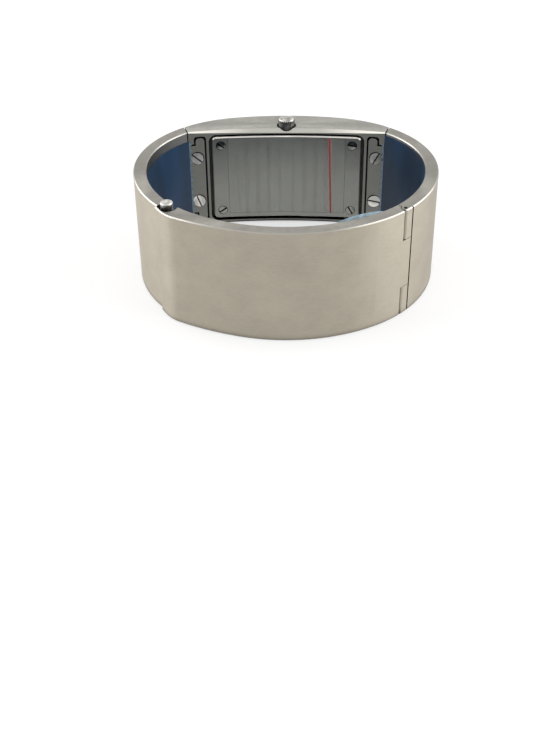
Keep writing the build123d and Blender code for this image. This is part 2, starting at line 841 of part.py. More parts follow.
def make_movement_holder():
    """Plastic frame between the movement and the walls of its room."""
    ring = centred(room_half_length - holder_gap, room_half_width - holder_gap)
    ring -= centred(movement_half_length + holder_gap, movement_half_width + holder_gap)
    holder = layer_between(movement_back_y, dial_back_y, ring)
    return holder - along_z(0, crown_y, mid_height, stem_tube_radius, mid_height)


def hand_shape(length, width, angle):
    """Tapered hand with a tail, turned by angle from twelve o'clock."""
    tip = width * hand_tip_share
    tail = length * hand_tail_share
    blade = make_face(
        Polyline(
            (-tail, -tip), (length, -tip / 2), (length, tip / 2), (-tail, tip), close=True
        )
    )
    middle = Rectangle(length, width * hand_tip_share)
    blade += Pos(length / 2) * middle
    shape = blade + Circle(hand_boss_radius)
    return Pos(0, mid_height) * Rot(0, 0, angle) * shape


def make_minute_hand():
    """Minute hand, pressed on the arbor."""
    shape = hand_shape(minute_hand_length, minute_hand_width, minute_hand_angle)
    shape -= Pos(0, mid_height) * Circle(arbor_radius)
    return layer_between(minute_hand_y, minute_hand_y + hand_thickness, shape)


def make_cannon_pinion():
    """Arbor with the leaves that drive the wheels under the dial."""
    start = plate_back_y + wheel_spacing
    arbor = along_y(0, start, mid_height, arbor_radius, minute_hand_y + hand_thickness - start)
    return arbor + along_y(0, lower_wheel_y, mid_height, cannon_radius, wheel_thickness)


def make_hour_hand():
    """Hour hand, pressed on the hour wheel's tube."""
    shape = hand_shape(hour_hand_length, hour_hand_width, hour_hand_angle)
    shape -= Pos(0, mid_height) * Circle(hour_tube_outer - hour_tube_wall / 2)
    return layer_between(hour_hand_y, hour_hand_y + hand_thickness, shape)


def make_hour_wheel():
    """Wheel under the dial whose tube carries the hour hand."""
    wheel = along_y(0, upper_wheel_y, mid_height, hour_wheel_radius, wheel_thickness)
    seat_radius = hour_tube_outer - hour_tube_wall / 2
    wheel += along_y(0, upper_wheel_y, mid_height, hour_tube_outer, hour_hand_y - upper_wheel_y)
    wheel += along_y(0, hour_hand_y, mid_height, seat_radius, hand_thickness)
    tube_length = hour_hand_y + hand_thickness - upper_wheel_y
    return wheel - along_y(0, upper_wheel_y, mid_height, arbor_radius + arbor_gap, tube_length)


def make_minute_wheel():
    """Step wheel between the cannon pinion and the hour wheel."""
    x = wheel_centre_distance
    wheel = along_y(x, lower_wheel_y, mid_height, minute_wheel_radius, wheel_thickness)
    top = upper_wheel_y + wheel_thickness
    wheel += along_y(x, lower_wheel_y, mid_height, minute_pinion_radius, top - lower_wheel_y)
    return wheel - along_y(x, lower_wheel_y, mid_height, stud_radius + stud_gap, top - lower_wheel_y)


def make_battery():
    """Button cell on the back of the plate."""
    start = plate_back_y - battery_thickness
    return along_y(-battery_offset, start, mid_height, battery_radius, battery_thickness)


def make_battery_strap():
    """Springy strip that holds the cell and takes its current."""
    under = plate_back_y - battery_thickness
    left = -battery_offset - battery_radius - strap_margin / 2
    right = -battery_offset + battery_radius + strap_margin
    low, high = mid_height - strap_width / 2, mid_height + strap_width / 2
    strip = layer_between(under - strap_thickness, under, block(left, right, low, high))
    foot = block(right - strap_thickness, right, low, high)
    return strip + layer_between(under, plate_back_y, foot)


def make_coil():
    """Copper winding of the stepping motor."""
    turns = coil_bar(coil_radius, coil_length)
    return turns - coil_bar(coil_core_radius, coil_length)


def coil_bar(radius, length):
    """Bar along X at the coil's place, against the back of the plate."""
    y = plate_back_y - coil_radius
    return Pos(coil_offset, y, mid_height - coil_drop) * Rot(0, 90, 0) * Cylinder(radius, length)


def make_coil_core():
    """Iron core with two square ends that stand on the plate."""
    core = coil_bar(coil_core_radius, coil_length)
    y = plate_back_y - coil_radius
    for hand in (-1, 1):
        x = coil_offset + hand * (coil_length + coil_core_end) / 2
        end = Box(coil_core_end, 2 * coil_radius, 2 * coil_radius)
        core += Pos(x, y, mid_height - coil_drop) * end
    return core


def make_circuit_board():
    """Thin board along the lower edge of the plate."""
    low = mid_height - movement_half_width
    shape = block(-movement_half_length, board_right, low, low + board_depth)
    board = layer_between(plate_back_y - board_thickness, plate_back_y, shape)
    clear = battery_radius + strap_margin / 2
    return board - along_y(-battery_offset, movement_back_y, mid_height, clear, reach)


def make_quartz_can():
    """Small metal can of the quartz, under the board."""
    y = plate_back_y - board_thickness - can_radius
    z = mid_height - movement_half_width + can_inset
    return Pos(board_right - can_length / 2, y, z) * Rot(0, 90, 0) * Cylinder(can_radius, can_length)


def make_train_cover():
    """Cover over the gear train, against the back of the plate."""
    shape = block(
        train_left,
        movement_half_length,
        mid_height - train_drop,
        mid_height + movement_half_width,
    )
    return layer_between(plate_back_y - train_thickness, plate_back_y, shape)


crown_low = band_width - crown_scoop_depth + crown_floor_gap
crown_cup_top = crown_low + crown_cup_depth
bearing_high = mid_height + movement_half_width
bearing_low = bearing_high - bearing_top_margin - clutch_length - 2 * clutch_gap - bearing_wall
clutch_low = bearing_low + bearing_wall + clutch_gap
stem_low = clutch_low - crown_travel


def make_crown():
    """Fluted crown with a polished dome and a cup underneath."""
    body = along_z(0, crown_y, crown_low, crown_radius, crown_skirt)
    flutes = [
        along_z(
            crown_radius * cos(2 * pi * step / crown_flutes),
            crown_y + crown_radius * sin(2 * pi * step / crown_flutes),
            crown_low,
            crown_flute_radius,
            crown_skirt + crown_shoulder,
        )
        for step in range(crown_flutes)
    ]
    skirt_top = crown_low + crown_skirt
    body += Pos(0, crown_y, skirt_top) * Cone(
        crown_radius, crown_top_radius, crown_shoulder, align=(Align.CENTER, Align.CENTER, Align.MIN)
    )
    body -= flutes
    cap_radius = (crown_top_radius**2 + crown_dome**2) / (2 * crown_dome)
    top = skirt_top + crown_shoulder
    dome = Pos(0, crown_y, top + crown_dome - cap_radius) * Sphere(cap_radius)
    body += dome & along_z(0, crown_y, top, crown_top_radius, crown_dome)
    body -= along_z(0, crown_y, crown_low, crown_cup_radius, crown_cup_depth)
    return body - along_z(0, crown_y, crown_cup_top, stem_radius, stem_grip)


def make_winding_stem():
    """Stem with a square lower half that slides in the clutch."""
    round_low = clutch_low + clutch_length + clutch_gap
    stem = along_z(0, crown_y, round_low, stem_radius, crown_cup_top + stem_grip - round_low)
    square = Box(
        stem_square, stem_square, round_low - stem_low, align=(Align.CENTER, Align.CENTER, Align.MIN)
    )
    return stem + Pos(0, crown_y, stem_low) * square


def make_stem_tube():
    """Tube in the head's wall that guides the stem."""
    low = mid_height + room_half_width
    high = band_width - crown_scoop_depth + stem_tube_rise
    return along_z(0, crown_y, low, stem_tube_radius, high - low) - along_z(
        0, crown_y, low, stem_radius + stem_gap, high - low
    )


def make_crown_gasket():
    """Seal ring at the top of the crown's cup."""
    low = crown_cup_top - crown_gasket_height
    return along_z(0, crown_y, low, crown_cup_radius, crown_gasket_height) - along_z(
        0, crown_y, low, stem_radius, crown_gasket_height
    )


def make_clutch():
    """Sliding clutch that turns with the stem and lets it slide."""
    clutch = along_z(0, crown_y, clutch_low, clutch_radius, clutch_length)
    side = stem_square + 2 * stem_square_gap
    return clutch - Pos(0, crown_y, clutch_low + clutch_length / 2) * Box(side, side, clutch_length)


def make_stem_bearing():
    """Block on the plate that the stem and clutch turn in."""
    shape = block(-bearing_half_length, bearing_half_length, bearing_low, bearing_high)
    body = layer_between(movement_back_y, plate_back_y, shape)
    room_low = clutch_low - clutch_gap
    room = along_z(
        0, crown_y, room_low, clutch_radius + clutch_gap, clutch_length + 2 * clutch_gap
    )
    body -= room
    return body - along_z(
        0, crown_y, bearing_low, stem_radius + stem_gap, bearing_high - bearing_low
    )


nodes = {
    "case_body": make_case_body,
    "case_back": make_case_back,
    "case_back_gasket": make_case_back_gasket,
    "case_back_screws": make_case_back_screws,
    "case_back_film": make_case_back_film,
    "crystal": make_crystal,
    "crystal_gasket": make_crystal_gasket,
    "dial_ring": make_dial_ring,
    "dial": make_dial,
    "dial_markers": make_dial_markers,
    "minute_hand": make_minute_hand,
    "cannon_pinion": make_cannon_pinion,
    "hour_hand": make_hour_hand,
    "hour_wheel": make_hour_wheel,
    "minute_wheel": make_minute_wheel,
    "minute_wheel_stud": make_minute_wheel_stud,
    "movement_plate": make_movement_plate,
    "movement_holder": make_movement_holder,
    "battery": make_battery,
    "battery_strap": make_battery_strap,
    "motor_coil": make_coil,
    "motor_coil_core": make_coil_core,
    "circuit_board": make_circuit_board,
    "quartz_can": make_quartz_can,
    "gear_train_cover": make_train_cover,
    "crown": make_crown,
    "winding_stem": make_winding_stem,
    "stem_tube": make_stem_tube,
    "crown_gasket": make_crown_gasket,
    "stem_clutch": make_clutch,
    "stem_bearing": make_stem_bearing,
    "left_band": make_left_band,
    "right_band": make_right_band,
    "left_band_screws": lambda: make_band_screws(-1),
    "right_band_screws": lambda: make_band_screws(1),
    "left_film": make_left_film,
    "right_film": make_right_film,
    "hinge_pin": make_hinge_pin,
    "gate": make_gate,
    "gate_film": make_gate_film,
    "latch_button": make_latch_button,
    "latch_clip": make_latch_clip,
    "latch_spring": make_latch_spring,
    "locating_pin": make_locating_pin,
}

os.makedirs("parts", exist_ok=True)
for name, make in nodes.items():
    made = make()
    pieces = made if isinstance(made, list) else [made]
    solids = [solid for piece in pieces for solid in piece.solids()]
    export_step(Compound(children=solids), f"parts/{name}.step")
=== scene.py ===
"""Looks of the bangle watch: brushed steel, protective films, dial and movement, and a plain studio."""

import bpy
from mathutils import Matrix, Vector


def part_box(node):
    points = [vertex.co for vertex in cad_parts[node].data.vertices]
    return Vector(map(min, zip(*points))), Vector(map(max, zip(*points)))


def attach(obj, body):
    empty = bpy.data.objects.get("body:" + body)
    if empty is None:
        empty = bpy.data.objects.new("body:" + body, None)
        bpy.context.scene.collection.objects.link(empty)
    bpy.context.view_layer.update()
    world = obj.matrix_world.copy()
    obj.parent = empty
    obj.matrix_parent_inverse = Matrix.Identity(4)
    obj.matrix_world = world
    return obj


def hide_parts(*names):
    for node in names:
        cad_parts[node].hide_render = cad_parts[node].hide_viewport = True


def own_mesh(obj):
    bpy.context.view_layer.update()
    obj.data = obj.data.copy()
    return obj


bl_info = {
    "name": "Bangle watch looks",
    "version": (1, 0, 0),
    "blender": (4, 5, 0),
    "location": "3D View > Sidebar > Bangle watch",
    "description": "Gives the bangle watch its brushed steel, films, dial, movement finishes and studio",
    "category": "Object",
}

from math import cos, pi, radians, sin

import bmesh
import bpy
from bpy.props import FloatProperty, FloatVectorProperty, IntProperty, PointerProperty
from mathutils import Matrix, Vector

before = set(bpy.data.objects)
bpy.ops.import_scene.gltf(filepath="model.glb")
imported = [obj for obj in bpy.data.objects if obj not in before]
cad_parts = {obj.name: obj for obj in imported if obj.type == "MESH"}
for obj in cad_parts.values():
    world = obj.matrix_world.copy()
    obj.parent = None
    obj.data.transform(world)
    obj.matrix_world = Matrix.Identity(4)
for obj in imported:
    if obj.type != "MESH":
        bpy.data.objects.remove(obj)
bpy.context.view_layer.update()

MM = 0.001
MID_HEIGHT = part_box("gate")[1][2] / 2


def from_srgb(red, green, blue):
    """Linear colour of three sRGB levels from 0 to 255."""
    levels = [level / 255 for level in (red, green, blue)]
    return tuple(v / 12.92 if v <= 0.04045 else ((v + 0.055) / 1.055) ** 2.4 for v in levels)


def opaque(colour):
    """The colour with full alpha, as the shader's sockets take it."""
    return (*colour, 1.0)


def tinted(colour, share):
    """The colour made lighter or darker by a share."""
    return tuple(min(1.0, value * share) for value in colour)


def even(value):
    """The same value three times: a grey, or a size along X, Y and Z."""
    return (value, value, value)


# Settings


class SteelSettings(bpy.types.PropertyGroup):
    """Finish of the bracelet, the head and the case back"""

    band_colour: FloatVectorProperty(
        name="Band", description="Brushed steel of the bracelet and head", subtype="COLOR",
        default=from_srgb(169, 162, 148), min=0, max=1,
    )
    # Partly painted highlight: the polish of bevels and screw heads, and the light they throw back.
    polish_highlight_colour: FloatVectorProperty(
        name="Bevels", description="Polished bevels and screw heads", subtype="COLOR",
        default=from_srgb(222, 219, 212), min=0, max=1,
    )
    back_colour: FloatVectorProperty(
        name="Case back", description="Greenish grey brushed plate", subtype="COLOR",
        default=from_srgb(144, 145, 139), min=0, max=1,
    )
    # Partly painted light: beside their fine grinding, the top faces take tones set to how they look lit
    # from above, and the head's is painted lighter.
    lit_top_colour: FloatVectorProperty(
        name="Top faces", description="Finely ground faces across the wrist", subtype="COLOR",
        default=from_srgb(154, 151, 144), min=0, max=1,
    )
    lit_head_top_colour: FloatVectorProperty(
        name="Head's top face", description="The head's faces across the wrist", subtype="COLOR",
        default=from_srgb(166, 165, 158), min=0, max=1,
    )
    # Painted highlight: broken edges grow brighter towards this distance from the middle.
    edge_reach: FloatProperty(
        name="Edge reach", description="Distance from the middle where broken edges are brightest",
        default=22 * MM, subtype="DISTANCE", unit="LENGTH", precision=5,
    )
    # Painted shade: faces that lie past these distances towards the wrist take the darker colours below,
    # which stand for the shade they are in.
    wrist_side_depth: FloatProperty(
        name="Wrist side depth", description="Faces towards the wrist lie past this distance",
        default=10 * MM, subtype="DISTANCE", unit="LENGTH", precision=5,
    )
    wall_depth: FloatProperty(
        name="Wall depth", description="The bracelet's inner walls lie past this distance",
        default=21 * MM, subtype="DISTANCE", unit="LENGTH", precision=5,
    )
    wrist_shade_colour: FloatVectorProperty(
        name="Wrist side", description="Steel around the case back", subtype="COLOR",
        default=from_srgb(136, 136, 130), min=0, max=1,
    )
    wall_shade_colour: FloatVectorProperty(
        name="Inner walls", description="Steel above the lining films", subtype="COLOR",
        default=from_srgb(108, 108, 108), min=0, max=1,
    )
    dark_colour: FloatVectorProperty(
        name="Pins and core", description="Plain dark steel of the pins", subtype="COLOR",
        default=from_srgb(120, 118, 114), min=0, max=1,
    )
    grain_width: FloatProperty(
        name="Grain width", description="Width of one brushed line", default=0.09 * MM,
        subtype="DISTANCE", unit="LENGTH", precision=5,
    )
    grain_length: FloatProperty(
        name="Grain length", description="Length of one brushed line", default=1.3 * MM,
        subtype="DISTANCE", unit="LENGTH", precision=5,
    )
    roughness: FloatProperty(
        name="Roughness", description="Roughness of the brushed faces", default=0.4, min=0, max=1,
    )
    spread: FloatProperty(
        name="Spread", description="How much wider light spreads across the brushed lines", default=0.75,
        min=0, max=1,
    )
    glare_colour: FloatVectorProperty(
        name="Glare", description="Light that brushed faces throw back at a low angle", subtype="COLOR",
        default=(0.68, 0.68, 0.69), min=0, max=1,
    )


class FilmSettings(bpy.types.PropertyGroup):
    """Blue lining film and the clear film on the case back"""

    deep_colour: FloatVectorProperty(
        name="Blue film", description="Film that lies on the steel", subtype="COLOR",
        default=from_srgb(16, 47, 75), min=0, max=1,
    )
    pale_colour: FloatVectorProperty(
        name="Loose film", description="Film that stands clear of the steel", subtype="COLOR",
        default=from_srgb(124, 144, 156), min=0, max=1,
    )
    stripe_colour: FloatVectorProperty(
        name="Stripe", description="Red line on the clear film", subtype="COLOR",
        default=from_srgb(150, 48, 50), min=0, max=1,
    )
    stripe_width: FloatProperty(
        name="Stripe width", description="Width of the red line", default=0.3 * MM,
        subtype="DISTANCE", unit="LENGTH", precision=5,
    )
    stripe_place: FloatProperty(
        name="Stripe place", description="Distance of the stripe from the middle at its lower end",
        default=10.42 * MM, subtype="DISTANCE", unit="LENGTH", precision=5,
    )
    stripe_lean: FloatProperty(
        name="Stripe lean", description="How far the red line leans to the middle per length of rise",
        default=0.03, precision=3,
    )
    tooth: FloatProperty(
        name="Tooth", description="Length of the pale teeth along the film's edge", default=0.65 * MM,
        subtype="DISTANCE", unit="LENGTH", precision=5,
    )
    film_rim: FloatProperty(
        name="Film rim", description="Width of the clear film's visible edge", default=0.13 * MM,
        subtype="DISTANCE", unit="LENGTH", precision=5,
    )
    lip_lean: FloatProperty(
        name="Lip lean", description="How far the loose film leans off the wall", default=0.9 * MM,
        subtype="DISTANCE", unit="LENGTH", precision=5,
    )
    lip_rise: FloatProperty(
        name="Lip rise", description="How far the loose film stands above the gate", default=0.4 * MM,
        subtype="DISTANCE", unit="LENGTH", precision=5,
    )
    wall_centre: FloatVectorProperty(
        name="Wall centre", description="Centre of the bracelet's curve at the hinge side", size=2,
        unit="LENGTH", default=(3.75 * MM, 2.0 * MM),
    )
    wall_radius: FloatProperty(
        name="Wall radius", description="Radius of the inner wall there", default=25.3 * MM,
        subtype="DISTANCE", unit="LENGTH", precision=5,
    )


class DialSettings(bpy.types.PropertyGroup):
    """Dial, track and movement colours"""

    dial_colour: FloatVectorProperty(
        name="Dial", description="Silvery lacquer of the dial", subtype="COLOR",
        default=(0.76, 0.75, 0.70), min=0, max=1,
    )
    print_colour: FloatVectorProperty(
        name="Print", description="Minute track", subtype="COLOR",
        default=(0.03, 0.03, 0.035), min=0, max=1,
    )
    brass_colour: FloatVectorProperty(
        name="Brass", description="Plate and wheels", subtype="COLOR",
        default=(0.72, 0.56, 0.30), min=0, max=1,
    )
    copper_colour: FloatVectorProperty(
        name="Copper", description="Winding of the motor", subtype="COLOR",
        default=(0.72, 0.30, 0.15), min=0, max=1,
    )
    board_colour: FloatVectorProperty(
        name="Board", description="Resin of the circuit board", subtype="COLOR",
        default=(0.03, 0.16, 0.07), min=0, max=1,
    )


class SpringSettings(bpy.types.PropertyGroup):
    """Latch spring"""

    coils: IntProperty(name="Coils", description="Number of turns", default=6, min=2, max=20)
    wire: FloatProperty(
        name="Wire", description="Thickness of the wire", default=0.2 * MM,
        subtype="DISTANCE", unit="LENGTH", precision=5,
    )


class StageSettings(bpy.types.PropertyGroup):
    """Camera that sees the watch as the photograph does"""

    photo_height: IntProperty(
        name="Photo height", description="Height of the photograph", default=733, subtype="PIXEL",
    )
    focal_pixels: FloatProperty(
        name="Focal length", description="Focal length in pixels of the photograph", default=931.4,
        subtype="PIXEL",
    )
    centre_row: FloatProperty(
        name="Optical centre", description="Row that the lens points at", default=181.0,
        subtype="PIXEL",
    )
    elevation: FloatProperty(
        name="Elevation", description="How far the camera looks down", default=radians(27.5),
        subtype="ANGLE", unit="ROTATION",
    )
    heading: FloatProperty(
        name="Heading", description="Turn of the camera about the vertical", default=radians(-1.42),
        subtype="ANGLE", unit="ROTATION",
    )
    roll: FloatProperty(
        name="Roll", description="Turn of the camera about its own axis", default=radians(-0.54),
        subtype="ANGLE", unit="ROTATION",
    )
    eye: FloatVectorProperty(
        name="Camera place", description="Where the camera stands", subtype="TRANSLATION",
        unit="LENGTH", default=(2.08 * MM, -172.9 * MM, 110.9 * MM),
    )


# Material tools


class Finish:
    """A material of one principled shader, and the nodes that feed it."""

    def __init__(self, name, slot, **values):
        self.material = bpy.data.materials.new(name)
        self.material.use_nodes = True
        self.slot = slot
        self.nodes = self.material.node_tree.nodes
        self.shader = self.nodes["Principled BSDF"]
        for socket, value in values.items():
            self.shader.inputs[socket.replace("_", " ")].default_value = value
        self.places = self.nodes.new("ShaderNodeTexCoord")

    def feed(self, source, target):
        """Joins an output to an input."""
        self.material.node_tree.links.new(source, target)

    def drive(self, socket, source):
        """Joins an output to one of the shader's own inputs."""
        self.feed(source, self.shader.inputs[socket])

    def math(self, operation, *values):
        """A maths node; values are numbers or outputs."""
        node = self.nodes.new("ShaderNodeMath")
        node.operation = operation
        for socket, value in zip(node.inputs, values):
            if isinstance(value, (int, float)):
                socket.default_value = value
            else:
                self.feed(value, socket)
        return node.outputs[0]

    def noise(self, stretch, detail=2.0, offset=0.0):
        """Noise in the part's own space; stretch is the size of a patch along X, Y and Z."""
        scaled = self.nodes.new("ShaderNodeMapping")
        scaled.inputs["Scale"].default_value = [1 / length for length in stretch]
        scaled.inputs["Location"].default_value = (offset, offset, offset)
        self.feed(self.places.outputs["Object"], scaled.inputs["Vector"])
        node = self.nodes.new("ShaderNodeTexNoise")
        node.inputs["Scale"].default_value = 1.0
        node.inputs["Detail"].default_value = detail
        self.feed(scaled.outputs["Vector"], node.inputs["Vector"])
        return node.outputs["Fac"]

    def between(self, factor, low, high):
        """Maps a factor from 0..1 to low..high."""
        return self.math("MULTIPLY_ADD", factor, high - low, low)

    def mixed(self, first, second, share):
        """Sum of a share of the first output and the rest of the second."""
        rest = self.math("MULTIPLY", second, 1 - share)
        return self.math("MULTIPLY_ADD", first, share, rest)

    def colours(self, factor, *stops):
        """Colour ramp; each stop is (place, colour)."""
        node = self.nodes.new("ShaderNodeValToRGB")
        ramp = node.color_ramp
        for index, (place, colour) in enumerate(stops):
            stop = ramp.elements[index] if index < 2 else ramp.elements.new(place)
            stop.position = place
            stop.color = opaque(colour)
        self.feed(factor, node.inputs["Fac"])
        return node.outputs["Color"]

    def shades(self, factor, colour, *stops):
        """Colour ramp of lighter and darker shades of one colour; each stop is (place, share)."""
        return self.colours(factor, *((place, tinted(colour, share)) for place, share in stops))

    def blend(self, factor, first, second):
        """Mix of two colours; each is an output or a plain colour."""
        node = self.nodes.new("ShaderNodeMix")
        node.data_type = "RGBA"
        self.feed(factor, node.inputs["Factor"])
        sockets = [s for s in node.inputs if s.type == "RGBA"]
        for socket, value in zip(sockets, (first, second)):
            if isinstance(value, tuple):
                socket.default_value = opaque(value)
            else:
                self.feed(value, socket)
        return [s for s in node.outputs if s.type == "RGBA"][0]

    def normal_part(self, axis):
        """Size of one component of the surface's own normal."""
        split = self.nodes.new("ShaderNodeSeparateXYZ")
        self.feed(self.places.outputs["Normal"], split.inputs["Vector"])
        return self.math("ABSOLUTE", split.outputs[axis])

    def outward(self):
        """How far out the surface's own plane lies; less than 0 on faces towards the wrist."""
        node = self.nodes.new("ShaderNodeVectorMath")
        node.operation = "DOT_PRODUCT"
        self.feed(self.places.outputs["Object"], node.inputs[0])
        self.feed(self.places.outputs["Normal"], node.inputs[1])
        return node.outputs["Value"]

    def place_part(self, axis):
        """One coordinate of the part's own space."""
        split = self.nodes.new("ShaderNodeSeparateXYZ")
        self.feed(self.places.outputs["Object"], split.inputs["Vector"])
        return split.outputs[axis]

    def paint_gap_shade(self, colour, reach, lights, darkest, alone=False):
        """The colour output with painted shade, nearly black where little light gets in.

        Light is 0 deep in a gap narrower than the reach and 1 on an open face. lights are the
        light up to which it is darkest and the light from which it has its full colour. alone
        leaves other pieces out.
        """
        opening = self.nodes.new("ShaderNodeAmbientOcclusion")
        opening.only_local = alone
        opening.samples = 6
        opening.inputs["Distance"].default_value = reach
        dark_end, full_start = lights
        light = self.colours(
            opening.outputs["AO"], (dark_end, even(darkest)), (full_start, even(1.0))
        )
        product = self.nodes.new("ShaderNodeVectorMath")
        product.operation = "MULTIPLY"
        self.feed(colour, product.inputs[0])
        self.feed(light, product.inputs[1])
        return product.outputs["Vector"]

    def relief(self, height, depth, strength):
        """Bump of a depth in metres."""
        node = self.nodes.new("ShaderNodeBump")
        node.inputs["Distance"].default_value = depth
        node.inputs["Strength"].default_value = strength
        self.feed(height, node.inputs["Height"])
        self.drive("Normal", node.outputs["Normal"])

    def paint(self, *names):
        """Gives the finish to CAD nodes or pieces by name."""
        for name in names:
            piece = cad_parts.get(name) or bpy.data.objects[name]
            piece.data.materials.clear()
            piece.data.materials.append(self.material)


def brushed_steel(name, slot, colour, settings, lit_top_colour=None, far_edge_highlight=0.6):
    """Steel with short brushed lines and cloudy wear, painted shade in gaps and painted highlights on
    broken edges.

    Without a colour for its top faces it is the case back, whose side walls are painted near-black as
    shade.
    far_edge_highlight is the share of the bevels' colour that edges far from the middle have, a painted
    highlight.
    """
    # How much of a normal lies along Y or Z on side walls, on top faces and on broken edges
    wall_most, top_least, edge_middle, edge_span = 0.3, 0.95, 0.66, 0.24
    plate = lit_top_colour is None
    base = settings.roughness
    finish = Finish(name, slot, Metallic=1.0, Roughness=base)
    long, fine = settings.grain_length, settings.grain_width
    # The plate's lines stand upright, and are wider and shorter than the band's.
    wider, shorter = 1.5, 0.3
    upright = (fine * wider, long * shorter, long * shorter)
    lines = finish.noise(upright if plate else (long, long, fine), detail=4.0)
    grit = finish.noise(even(fine * 2), detail=2.0, offset=3.0)
    clouds = finish.noise((5 * MM, 5 * MM, 4 * MM), detail=4.0, offset=7.0)
    grain = finish.mixed(lines, grit, 0.6)
    tone = finish.mixed(grain, clouds, 0.7)

    def grained(metal):
        return finish.shades(tone, metal, (0.34, 0.86), (0.5, 1.0), (0.66, 1.1))

    shade = grained(colour)
    bright = tuple(settings.polish_highlight_colour)
    if plate:
        # Painted shade: the plate's side walls, deep in the gap around it, are painted near-black.
        wall = finish.math("LESS_THAN", finish.normal_part("Y"), wall_most)
        shade = finish.blend(wall, shade, tinted(colour, 0.05))
        edge = bright
    else:
        # Partly painted light: faces that look up take the top colour, their tone as lit from above.
        top = finish.math("GREATER_THAN", finish.normal_part("Z"), top_least)
        shade = finish.blend(top, shade, grained(lit_top_colour))
        # Painted shade: faces towards the wrist and the bracelet's inner walls take darker colours.
        shaded_inner_faces = (
            (settings.wrist_side_depth, settings.wrist_shade_colour),
            (settings.wall_depth, settings.wall_shade_colour),
        )
        for depth, inner_shade_colour in shaded_inner_faces:
            shaded_inside = finish.math("LESS_THAN", finish.outward(), -depth)
            shade = finish.blend(shaded_inside, shade, grained(tuple(inner_shade_colour)))
        # Painted highlight: on the band and head, broken edges brighten with their distance from the
        # middle.
        aside = finish.math("ABSOLUTE", finish.place_part("X"))
        edge = finish.colours(
            finish.math("DIVIDE", aside, settings.edge_reach),
            (0.35, tinted(lit_top_colour, 1.1)), (0.9, tinted(bright, far_edge_highlight)),
        )
    # Broken edges, leaning by about 45 degrees, take the edge colour: partly polish, partly painted
    # highlight.
    slope = finish.math("COMPARE", finish.normal_part("Z"), edge_middle, edge_span)
    shade = finish.blend(slope, shade, edge)
    # Painted shade, darkest deep in narrow gaps.
    gap_reach = (0.8 if plate else 2) * MM
    shade = finish.paint_gap_shade(shade, gap_reach, (0.3, 0.75), darkest=0.02, alone=plate)
    finish.drive("Base Color", shade)
    finish.drive("Roughness", finish.between(grain, base - 0.08, base + 0.14))
    shader = finish.shader.inputs
    shader["Specular Tint"].default_value = opaque(settings.glare_colour)
    shader["Anisotropic"].default_value = settings.spread
    shader["Anisotropic Rotation"].default_value = 0.0 if plate else 0.25
    round_band = finish.nodes.new("ShaderNodeTangent")
    round_band.direction_type = "RADIAL"
    round_band.axis = "Z"
    finish.drive("Tangent", round_band.outputs["Tangent"])
    finish.relief(lines, 0.004 * MM, 0.12 if plate else 0.35)
    return finish


def plain_metal(name, slot, colour, roughness, patch=0.6 * MM):
    """Turned or stamped metal with faint tool marks."""
    finish = Finish(name, slot, Metallic=1.0, Roughness=roughness)
    marks = finish.noise((patch, patch, patch / 4), detail=3.0)
    finish.drive("Base Color", finish.shades(marks, colour, (0.3, 0.86), (0.7, 1.06)))
    smoothest = max(roughness - 0.06, 0.03)
    finish.drive("Roughness", finish.between(marks, smoothest, roughness + 0.08))
    finish.relief(marks, 0.002 * MM, 0.3)
    return finish


def polished_metal(
    name, top, side, patch, roughness=0.16, contrast=0.7, gap=0.4 * MM, lights=(0.2, 0.6),
):
    """Polished steel with painted reflections: its flat top and its sides each take a painted shade,
    with darker patchy spots.

    gap is how far the painted shade of a slot reaches, and lights are as paint_gap_shade takes them.
    """
    finish = Finish(name, "polished_steel", Metallic=1.0, Roughness=roughness)
    reflection_patches = finish.noise(even(patch), detail=1.0)
    # Painted reflections: one set of shades for the top, another for the sides.
    light = finish.shades(reflection_patches, top, (0.4, 1 - contrast), (0.58, 1.0))
    dark = finish.shades(reflection_patches, side, (0.4, 0.6), (0.62, 1.0))
    up = finish.math("GREATER_THAN", finish.normal_part("Z"), 0.5)
    metal = finish.blend(up, dark, light)
    finish.drive("Base Color", finish.paint_gap_shade(metal, gap, lights, darkest=0.03))
    finish.drive("Roughness", finish.between(reflection_patches, roughness - 0.06, roughness + 0.1))
    finish.relief(reflection_patches, 0.01 * MM, 0.4)
    return finish


# Piece tools


def new_piece(name, body, mesh_builder):
    """Object of a mesh made in code, riding on a body."""
    mesh = bpy.data.meshes.new(name)
    shape = bmesh.new()
    mesh_builder(shape)
    bmesh.ops.recalc_face_normals(shape, faces=shape.faces)
    shape.to_mesh(mesh)
    shape.free()
    piece = bpy.data.objects.new(name, mesh)
    bpy.context.scene.collection.objects.link(piece)
    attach(piece, body)
    return piece


def smooth(piece):
    """Shades all faces smooth."""
    for face in piece.data.polygons:
        face.use_smooth = True


def sweep_ring(shape, rings):
    """Skins a row of equal point rings; the ends are capped."""
    made = [[shape.verts.new(point) for point in ring] for ring in rings]
    count = len(made[0])
    for near, far in zip(made, made[1:]):
        for index in range(count):
            after = (index + 1) % count
            shape.faces.new((near[index], near[after], far[after], far[index]))
    shape.faces.new(made[0][::-1])
    shape.faces.new(made[-1])


